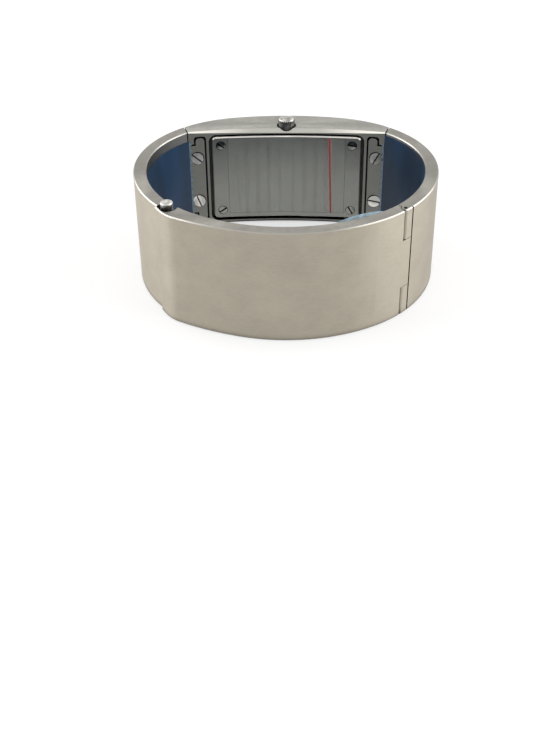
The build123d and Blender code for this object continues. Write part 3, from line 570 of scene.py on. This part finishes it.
def sheet(shape, rows, thickness):
    """Thin sheet through a grid of (point, normal) pairs, with two faces and a rim."""
    half = thickness / 2
    front = [[shape.verts.new(p + n * half) for p, n in row] for row in rows]
    back = [[shape.verts.new(p - n * half) for p, n in row] for row in rows]
    for side, flip in ((front, False), (back, True)):
        for low, high in zip(side, side[1:]):
            for index in range(len(low) - 1):
                loop = (low[index], low[index + 1], high[index + 1], high[index])
                shape.faces.new(loop[::-1] if flip else loop)
    last_row, last_column = len(rows) - 1, len(rows[0]) - 1
    rim = [(row, 0) for row in range(last_row + 1)]
    rim += [(last_row, column) for column in range(1, last_column + 1)]
    rim += [(row, last_column) for row in range(last_row - 1, -1, -1)]
    rim += [(0, column) for column in range(last_column - 1, 0, -1)]
    for (row, column), (next_row, next_column) in zip(rim, rim[1:] + rim[:1]):
        near, far = front[row][column], front[next_row][next_column]
        shape.faces.new((near, far, back[next_row][next_column], back[row][column]))


# Operators, one for each piece or group of like pieces


class SteelOperator(bpy.types.Operator):
    """Brushes the bracelet, the gate and the head"""

    bl_idname = "watch.steel"
    bl_label = "Brushed bracelet"

    def execute(self, context):
        look = context.scene.watch_steel
        colour = tuple(look.band_colour)
        band = brushed_steel(
            "steel_brushed_band", "brushed_band", colour, look, tuple(look.lit_top_colour)
        )
        band.paint("left_band", "right_band", "gate")
        # The head's top faces are painted lighter.
        head = brushed_steel(
            "steel_brushed_head", "brushed_band", colour, look, tuple(look.lit_head_top_colour),
            # Stronger painted highlight on the head's far edges.
            far_edge_highlight=1.1,
        )
        head.paint("case_body")
        return {"FINISHED"}


class CaseBackOperator(bpy.types.Operator):
    """Finishes the case back"""

    bl_idname = "watch.case_back"
    bl_label = "Case back"

    def execute(self, context):
        look = context.scene.watch_steel
        plate = brushed_steel(
            "case_back_brushed", "case_back_steel", tuple(look.back_colour), look
        )
        plate.paint("case_back")
        return {"FINISHED"}


class ScrewOperator(bpy.types.Operator):
    """Polishes the screws, the crown and the latch button, and darkens the pins"""

    bl_idname = "watch.screws"
    bl_label = "Screws, crown and pins"

    def execute(self, context):
        look = context.scene.watch_steel
        bright, dark = tuple(look.polish_highlight_colour), tuple(look.dark_colour)
        # Each knob's top and sides take painted light and shade as given, and its slot takes painted
        # shade.
        band_screws = polished_metal(
            "screw_steel", top=bright, side=tinted(bright, 1.15), patch=2.6 * MM, roughness=0.24,
            gap=0.7 * MM, lights=(0.55, 0.9),
        )
        band_screws.paint("left_band_screws", "right_band_screws")
        back_screws = polished_metal(
            "back_screw_steel", top=bright, side=tinted(bright, 0.42), patch=1.6 * MM,
            gap=0.6 * MM, lights=(0.5, 0.9),
        )
        back_screws.paint("case_back_screws")
        for name, share in (("crown", 0.75), ("latch_button", 1.0)):
            knob = polished_metal(
                name + "_steel", top=tinted(bright, share), side=tinted(bright, 0.5),
                patch=1.0 * MM, roughness=0.3, contrast=0.4,
            )
            knob.paint(name)
        plain_metal("pin_steel", "dark_steel", dark, 0.32).paint(
            "hinge_pin", "locating_pin", "latch_clip", "winding_stem", "stem_tube", "stem_clutch",
            "minute_wheel_stud", "motor_coil_core",
        )
        return {"FINISHED"}


class SealOperator(bpy.types.Operator):
    """Rubber seals of the case back, the glass and the crown"""

    bl_idname = "watch.seals"
    bl_label = "Seals"

    def execute(self, context):
        rubber = Finish("seal_rubber", "seal_rubber", Roughness=0.7, Specular_IOR_Level=0.3)
        dust = rubber.noise(even(0.3 * MM), detail=4.0)
        shade = rubber.colours(dust, (0.35, even(0.012)), (0.75, (0.035, 0.035, 0.036)))
        rubber.drive("Base Color", shade)
        rubber.relief(dust, 0.01 * MM, 0.4)
        rubber.paint("case_back_gasket", "crystal_gasket", "crown_gasket")
        return {"FINISHED"}


class FilmOperator(bpy.types.Operator):
    """Blue lining films, the loose lip of the gate's film, and the clear film with its red line"""

    bl_idname = "watch.films"
    bl_label = "Protective films"

    def execute(self, context):
        look = context.scene.watch_films
        self.blue_film(look)
        self.clear_film(look)
        self.loose_lip(look)
        return {"FINISHED"}

    def blue_film(self, look):
        """Blue film that drifts in tone, with pale teeth along its edges at the head."""
        deep, pale = tuple(look.deep_colour), tuple(look.pale_colour)
        blue = Finish(
            "blue_film", "blue_film", Metallic=0.2, Roughness=0.38, Coat_Weight=0.15,
            Coat_Roughness=0.2,
        )
        drift = blue.noise((6 * MM, 6 * MM, 40 * MM), detail=2.0)
        wrinkles = blue.noise((1.6 * MM, 1.6 * MM, 9 * MM), detail=2.0, offset=5.0)
        shade = blue.shades(drift, deep, (0.36, 0.62), (0.5, 1.0), (0.64, 1.45))
        tooth_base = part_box("right_film")[0][0] + look.tooth
        reach = blue.math("ABSOLUTE", blue.place_part("X"))
        past_teeth = blue.math("GREATER_THAN", reach, tooth_base)
        behind = blue.math("LESS_THAN", blue.place_part("Y"), 0.0)
        lining = blue.math("MAXIMUM", past_teeth, behind)
        blue.drive("Base Color", blue.blend(lining, pale, shade))
        blue.drive("Roughness", blue.between(drift, 0.3, 0.5))
        blue.relief(wrinkles, 0.05 * MM, 0.25)
        blue.paint("left_film", "right_film", "gate_film")

    def clear_film(self, look):
        """Clear film with its slanted red line and its faint edges."""
        low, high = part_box("case_back_film")
        clear = Finish("clear_film", "clear_film", Roughness=0.45)
        haze = clear.noise((5 * MM, 5 * MM, 8 * MM), detail=3.0)
        across, up = clear.place_part("X"), clear.place_part("Z")
        line_place = clear.math("MULTIPLY_ADD", up, -look.stripe_lean, look.stripe_place)
        off_line = clear.math("ABSOLUTE", clear.math("SUBTRACT", across, line_place))
        on_line = clear.math("LESS_THAN", off_line, look.stripe_width / 2)
        halo_reach = look.stripe_width * 1.6
        halo = clear.math("LESS_THAN", off_line, halo_reach)
        left_edge = clear.math("LESS_THAN", across, low[0] + look.film_rim)
        right_edge = clear.math("GREATER_THAN", across, high[0] - look.film_rim)
        foot = clear.math("LESS_THAN", up, low[2] + look.film_rim)
        rim = clear.math("MAXIMUM", clear.math("MAXIMUM", left_edge, right_edge), foot)
        tone = clear.colours(haze, (0.3, (0.40, 0.41, 0.38)), (0.7, (0.50, 0.51, 0.48)))
        dark_rim, pink_halo = (0.08, 0.085, 0.08), (0.52, 0.25, 0.24)
        tone = clear.blend(halo, clear.blend(rim, tone, dark_rim), pink_halo)
        clear.drive("Base Color", clear.blend(on_line, tone, tuple(look.stripe_colour)))
        cover = clear.between(haze, 0.06, 0.14)
        for mark, share in ((on_line, 0.6), (halo, 0.3), (rim, 0.35)):
            cover = clear.math("MULTIPLY_ADD", mark, share, cover)
        # The face against the steel stays clear, so the film is seen once.
        sides = clear.nodes.new("ShaderNodeNewGeometry")
        front = clear.math("SUBTRACT", 1.0, sides.outputs["Backfacing"])
        clear.drive("Alpha", clear.math("MULTIPLY", cover, front))
        clear.relief(haze, 0.03 * MM, 0.3)
        clear.paint("case_back_film")

    def loose_lip(self, look):
        """Edge of the gate's film that has come away from the steel."""
        film_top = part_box("gate_film")[1][2]
        centre = Vector((look.wall_centre[0], look.wall_centre[1], 0))
        steps, rises = 36, 6
        first_degree, degrees = 50.5, 27
        wall_gap, overlap, thickness = 0.2 * MM, 0.3 * MM, 0.09 * MM
        end_height, middle_height = 0.35 * MM, 0.65 * MM + look.lip_rise
        roundness, curl = 0.5, 1.3

        def build(shape):
            rows = []
            for rise in range(rises + 1):
                share = rise / rises
                row = []
                for step in range(steps + 1):
                    along = step / steps
                    turn = radians(first_degree + degrees * along)
                    swell = max(sin(pi * along), 0.0) ** roundness
                    out = Vector((cos(turn), -sin(turn), 0))
                    lean = look.lip_lean * swell * share ** curl
                    spot = centre + out * (look.wall_radius - wall_gap - lean)
                    spot.z = film_top - overlap + (end_height + middle_height * swell) * share
                    row.append((spot, out))
                rows.append(row)
            sheet(shape, rows, thickness)

        lip = new_piece("gate_film_lip", "gate", build)
        smooth(lip)
        loose = Finish("loose_film", "blue_film", Roughness=0.3, Alpha=0.6)
        veil = loose.noise((1.5 * MM, 1.5 * MM, 1 * MM), detail=2.0)
        pale = tuple(look.pale_colour)
        loose.drive("Base Color", loose.shades(veil, pale, (0.35, 1.2), (0.65, 2.0)))
        loose.paint("gate_film_lip")


class GlassOperator(bpy.types.Operator):
    """Curved glass over the dial"""

    bl_idname = "watch.glass"
    bl_label = "Glass"

    def execute(self, context):
        glass = Finish(
            "crystal_glass", "crystal_glass", Transmission_Weight=1.0, Roughness=0.02, IOR=1.5,
            Base_Color=opaque((0.97, 0.99, 0.98)),
        )
        smears = glass.noise(even(3 * MM), detail=3.0)
        glass.drive("Roughness", glass.between(smears, 0.0, 0.05))
        ray = glass.nodes.new("ShaderNodeLightPath")
        open_way = glass.nodes.new("ShaderNodeBsdfTransparent")
        mix = glass.nodes.new("ShaderNodeMixShader")
        output = glass.nodes["Material Output"]
        glass.feed(ray.outputs["Is Shadow Ray"], mix.inputs["Fac"])
        glass.feed(glass.shader.outputs["BSDF"], mix.inputs[1])
        glass.feed(open_way.outputs["BSDF"], mix.inputs[2])
        glass.feed(mix.outputs["Shader"], output.inputs["Surface"])
        glass.paint("crystal")
        return {"FINISHED"}


class DialOperator(bpy.types.Operator):
    """Dial, markers, hands and a printed minute track"""

    bl_idname = "watch.dial"
    bl_label = "Dial and hands"

    def execute(self, context):
        look = context.scene.watch_dial
        steel = context.scene.watch_steel
        colour = tuple(look.dial_colour)
        dial = Finish(
            "dial_lacquer", "dial_lacquer", Metallic=0.35, Roughness=0.35, Coat_Weight=0.4,
            Coat_Roughness=0.08,
        )
        lines = dial.noise((0.05 * MM, 1 * MM, 6 * MM), detail=3.0)
        dial.drive("Base Color", dial.shades(lines, colour, (0.3, 0.9), (0.7, 1.06)))
        dial.drive("Roughness", dial.between(lines, 0.28, 0.42))
        dial.relief(lines, 0.002 * MM, 0.4)
        dial.paint("dial")
        hands_colour = tinted(tuple(steel.polish_highlight_colour), 0.16)
        plain_metal("marker_steel", "polished_steel", hands_colour, 0.2).paint(
            "dial_markers", "minute_hand", "hour_hand"
        )
        ring_colour = tinted(tuple(steel.dark_colour), 1.3)
        plain_metal("ring_steel", "dark_steel", ring_colour, 0.3).paint("dial_ring")
        self.minute_track(look)
        return {"FINISHED"}

    def minute_track(self, look):
        """Sixty printed strokes round the dial, every fifth one longer and wider."""
        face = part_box("dial")[1][1] + 0.012 * MM
        markers_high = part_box("dial_markers")[1]
        inset = 1.85 * MM
        half_x = markers_high[0] - inset
        half_z = markers_high[2] - MID_HEIGHT - inset
        ink_depth = Vector((0, 0.01 * MM, 0))

        def build(shape):
            for minute in range(60):
                turn = minute * pi / 30
                across, up = cos(turn), sin(turn)
                stretch = min(half_x / max(abs(across), 1e-6), half_z / max(abs(up), 1e-6))
                length, width = (0.5 * MM, 0.12 * MM) if minute % 5 == 0 else (0.3 * MM, 0.06 * MM)
                along = Vector((across, 0, up))
                aside = Vector((-up, 0, across)) * width / 2
                start = Vector((0, face, MID_HEIGHT)) + along * stretch
                inward = along * length
                ring = [start - aside, start + aside, start + aside - inward, start - aside - inward]
                sweep_ring(shape, [[p - ink_depth for p in ring], [p + ink_depth for p in ring]])

        new_piece("minute_track", "watch_frame", build)
        black = opaque(tuple(look.print_colour))
        ink = Finish("track_ink", "dial_lacquer", Roughness=0.5, Base_Color=black)
        speck = ink.noise(even(0.05 * MM))
        ink.drive("Roughness", ink.between(speck, 0.4, 0.6))
        ink.paint("minute_track")


class MovementOperator(bpy.types.Operator):
    """Plate, wheels, cell, coil and board of the movement"""

    bl_idname = "watch.movement"
    bl_label = "Movement"

    def execute(self, context):
        look = context.scene.watch_dial
        brass = tuple(look.brass_colour)
        plain_metal("movement_brass", "movement_brass", brass, 0.3, patch=1.2 * MM).paint(
            "movement_plate", "cannon_pinion", "hour_wheel", "minute_wheel"
        )
        plain_metal("cell_steel", "cell_steel", (0.62, 0.62, 0.6), 0.22, patch=2 * MM).paint(
            "battery", "battery_strap", "quartz_can", "gear_train_cover", "stem_bearing"
        )
        self.copper_coil(look)
        self.moulded_holder()
        self.printed_board(look)
        return {"FINISHED"}

    def copper_coil(self, look):
        """Fine copper wire, wound side by side."""
        coil = Finish("coil_copper", "coil_copper", Metallic=1.0, Roughness=0.3)
        turns = coil.nodes.new("ShaderNodeTexWave")
        turns.wave_type = "BANDS"
        turns.bands_direction = "X"
        turns.inputs["Scale"].default_value = 1 / (0.36 * MM)
        turns.inputs["Distortion"].default_value = 0.4
        coil.feed(coil.places.outputs["Object"], turns.inputs["Vector"])
        copper = tuple(look.copper_colour)
        coil.drive("Base Color", coil.shades(turns.outputs["Fac"], copper, (0.1, 0.45), (0.7, 1.0)))
        coil.relief(turns.outputs["Fac"], 0.03 * MM, 0.8)
        coil.paint("motor_coil")

    def moulded_holder(self):
        """Pale plastic with a faintly mottled face."""
        holder = Finish("holder_plastic", "holder_plastic", Roughness=0.5)
        mottle = holder.noise(even(0.4 * MM), detail=3.0)
        shade = holder.colours(mottle, (0.3, (0.62, 0.61, 0.56)), (0.7, (0.7, 0.69, 0.64)))
        holder.drive("Base Color", shade)
        holder.relief(mottle, 0.004 * MM, 0.4)
        holder.paint("movement_holder")

    def printed_board(self, look):
        """Green resin with lighter tracks."""
        board = Finish("board_resin", "board_resin", Roughness=0.35)
        tracks = board.nodes.new("ShaderNodeTexBrick")
        tracks.inputs["Scale"].default_value = 1 / (1.4 * MM)
        tracks.inputs["Mortar Size"].default_value = 0.06
        turned = board.nodes.new("ShaderNodeMapping")
        turned.inputs["Rotation"].default_value = (radians(90), 0, 0)
        board.feed(board.places.outputs["Object"], turned.inputs["Vector"])
        board.feed(turned.outputs["Vector"], tracks.inputs["Vector"])
        resin = tuple(look.board_colour)
        board.drive("Base Color", board.blend(tracks.outputs["Fac"], resin, tinted(resin, 2.2)))
        board.relief(tracks.outputs["Fac"], 0.02 * MM, 0.5)
        board.paint("circuit_board")


class SpringOperator(bpy.types.Operator):
    """Winds the latch spring"""

    bl_idname = "watch.spring"
    bl_label = "Latch spring"

    def execute(self, context):
        look = context.scene.watch_spring
        low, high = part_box("latch_spring")
        middle = (Vector(low) + Vector(high)) / 2
        wire = look.wire / 2
        radius = (high[0] - low[0]) / 2 - wire
        rise = high[2] - low[2] - look.wire
        turn_steps, wire_sides = 24, 8
        steps = look.coils * turn_steps

        def build(shape):
            rings = []
            for step in range(steps + 1):
                turn = 2 * pi * look.coils * step / steps
                out = Vector((cos(turn), sin(turn), 0))
                spot = Vector((middle[0], middle[1], low[2] + wire + rise * step / steps))
                rings.append(
                    [
                        spot + out * (radius + wire * cos(a)) + Vector((0, 0, wire * sin(a)))
                        for a in (2 * pi * side / wire_sides for side in range(wire_sides))
                    ]
                )
            sweep_ring(shape, rings)

        coil = new_piece("latch_spring_coil", "gate", build)
        smooth(coil)
        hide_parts("latch_spring")
        dark = tuple(context.scene.watch_steel.dark_colour)
        plain_metal("spring_steel", "dark_steel", dark, 0.25).paint("latch_spring_coil")
        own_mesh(coil)
        return {"FINISHED"}


def background_rays(nodes, links):
    """1 for the rays of the camera, of mirrors and of glass, which see the white background."""
    ray = nodes.new("ShaderNodeLightPath")
    seen = ray.outputs["Is Camera Ray"]
    for kind in ("Is Glossy Ray", "Is Transmission Ray"):
        node = nodes.new("ShaderNodeMath")
        node.operation = "MAXIMUM"
        links.new(seen, node.inputs[0])
        links.new(ray.outputs[kind], node.inputs[1])
        seen = node.outputs[0]
    return seen


# Place of each lamp and the side of its square, in metres, and its power in watts
LAMPS = {
    "lamp_left": ((-0.36, 0.07, 0.14), 0.46, 2.15),
    "lamp_right": ((0.36, 0.0, 0.14), 0.5, 2.35),
    "lamp_above": ((-0.04, -0.02, 0.46), 0.34, 0.32),
}


class StageOperator(bpy.types.Operator):
    """Floor, lamps, world and camera"""

    bl_idname = "watch.stage"
    bl_label = "Stage"

    def execute(self, context):
        scene = context.scene
        self.lay_floor(scene)
        self.light_world(scene)
        for name, (place, size, power) in LAMPS.items():
            self.hang_lamp(scene, name, place, size, power)
        self.set_camera(scene, scene.watch_stage)
        scene.view_settings.view_transform = "Standard"
        return {"FINISHED"}

    def set_camera(self, scene, look):
        """Camera at the photograph's place, angle and framing."""
        cos_e, sin_e = cos(look.elevation), sin(look.elevation)
        forward = Vector((sin(look.heading) * cos_e, cos(look.heading) * cos_e, -sin_e))
        level = Vector((cos(look.heading), -sin(look.heading), 0))
        upright = level.cross(forward)
        right = level * cos(look.roll) + upright * sin(look.roll)
        up = upright * cos(look.roll) - level * sin(look.roll)
        lens = bpy.data.cameras.new("photo_camera")
        lens.sensor_width = 36.0
        lens.lens = look.focal_pixels / look.photo_height * lens.sensor_width
        lens.shift_y = (look.centre_row - look.photo_height / 2) / look.photo_height
        lens.clip_start = 0.005
        camera = bpy.data.objects.new("photo_camera", lens)
        turn = Matrix((right, up, -forward)).transposed().to_4x4()
        camera.matrix_world = Matrix.Translation(Vector(look.eye)) @ turn
        scene.collection.objects.link(camera)
        scene.camera = camera

    def lay_floor(self, scene):
        """Wide pale floor that shows white and keeps the shadow."""
        glow_share = 0.6
        mesh = bpy.data.meshes.new("floor")
        shape = bmesh.new()
        bmesh.ops.create_grid(shape, x_segments=8, y_segments=8, size=2.5)
        shape.to_mesh(mesh)
        shape.free()
        floor = bpy.data.objects.new("floor", mesh)
        scene.collection.objects.link(floor)
        material = bpy.data.materials.new("pale_floor")
        material.use_nodes = True
        nodes, links = material.node_tree.nodes, material.node_tree.links
        shader = nodes["Principled BSDF"]
        shader.inputs["Base Color"].default_value = opaque(even(0.86))
        shader.inputs["Roughness"].default_value = 0.9
        shader.inputs["Specular IOR Level"].default_value = 0.1
        part = nodes.new("ShaderNodeMath")
        part.operation = "MULTIPLY"
        part.inputs[1].default_value = glow_share
        links.new(background_rays(nodes, links), part.inputs[0])
        white = nodes.new("ShaderNodeEmission")
        white.inputs["Strength"].default_value = 1.0
        mix = nodes.new("ShaderNodeMixShader")
        links.new(part.outputs[0], mix.inputs["Fac"])
        links.new(shader.outputs["BSDF"], mix.inputs[1])
        links.new(white.outputs["Emission"], mix.inputs[2])
        links.new(mix.outputs["Shader"], nodes["Material Output"].inputs["Surface"])
        floor.data.materials.append(material)

    def light_world(self, scene):
        """White world that lights softly."""
        seen_strength, light_strength = 1.0, 0.6
        world = bpy.data.worlds.new("studio")
        world.use_nodes = True
        scene.world = world
        nodes, links = world.node_tree.nodes, world.node_tree.links
        back = nodes["Background"]
        back.inputs["Color"].default_value = opaque(even(1.0))
        level = nodes.new("ShaderNodeMath")
        level.operation = "MULTIPLY_ADD"
        level.inputs[1].default_value = seen_strength - light_strength
        level.inputs[2].default_value = light_strength
        links.new(background_rays(nodes, links), level.inputs[0])
        links.new(level.outputs[0], back.inputs["Strength"])

    def hang_lamp(self, scene, name, place, size, power):
        """Square lamp that faces the watch."""
        light = bpy.data.lights.new(name, "AREA")
        light.size = size
        light.energy = power
        lamp = bpy.data.objects.new(name, light)
        lamp.location = place
        aim = Vector((0, 0, MID_HEIGHT)) - Vector(place)
        lamp.rotation_euler = aim.to_track_quat("-Z", "Y").to_euler()
        scene.collection.objects.link(lamp)


class WatchPanel(bpy.types.Panel):
    """Sidebar panel that lists the pieces"""

    bl_idname = "VIEW3D_PT_bangle_watch"
    bl_label = "Bangle watch"
    bl_space_type = "VIEW_3D"
    bl_region_type = "UI"
    bl_category = "Bangle watch"

    def draw(self, context):
        for name in SETTINGS:
            settings = getattr(context.scene, name)
            box = self.layout.box()
            for prop in settings.bl_rna.properties:
                if prop.identifier not in ("rna_type", "name"):
                    box.prop(settings, prop.identifier)
        for operator in OPERATORS:
            self.layout.operator(operator.bl_idname)


SETTINGS = {
    "watch_steel": SteelSettings,
    "watch_films": FilmSettings,
    "watch_dial": DialSettings,
    "watch_spring": SpringSettings,
    "watch_stage": StageSettings,
}
OPERATORS = (
    SteelOperator,
    CaseBackOperator,
    ScrewOperator,
    SealOperator,
    FilmOperator,
    GlassOperator,
    DialOperator,
    MovementOperator,
    SpringOperator,
    StageOperator,
)


def register():
    for group in SETTINGS.values():
        bpy.utils.register_class(group)
    for name, group in SETTINGS.items():
        setattr(bpy.types.Scene, name, PointerProperty(type=group))
    for operator in OPERATORS:
        bpy.utils.register_class(operator)
    bpy.utils.register_class(WatchPanel)


def unregister():
    bpy.utils.unregister_class(WatchPanel)
    for operator in reversed(OPERATORS):
        bpy.utils.unregister_class(operator)
    for name in SETTINGS:
        delattr(bpy.types.Scene, name)
    for group in reversed(SETTINGS.values()):
        bpy.utils.unregister_class(group)


def main():
    """Builds the looks in order."""
    register()
    bpy.ops.watch.steel()
    bpy.ops.watch.case_back()
    bpy.ops.watch.screws()
    bpy.ops.watch.seals()
    bpy.ops.watch.films()
    bpy.ops.watch.glass()
    bpy.ops.watch.dial()
    bpy.ops.watch.movement()
    bpy.ops.watch.spring()
    bpy.ops.watch.stage()


if __name__ == "__main__":
    main()
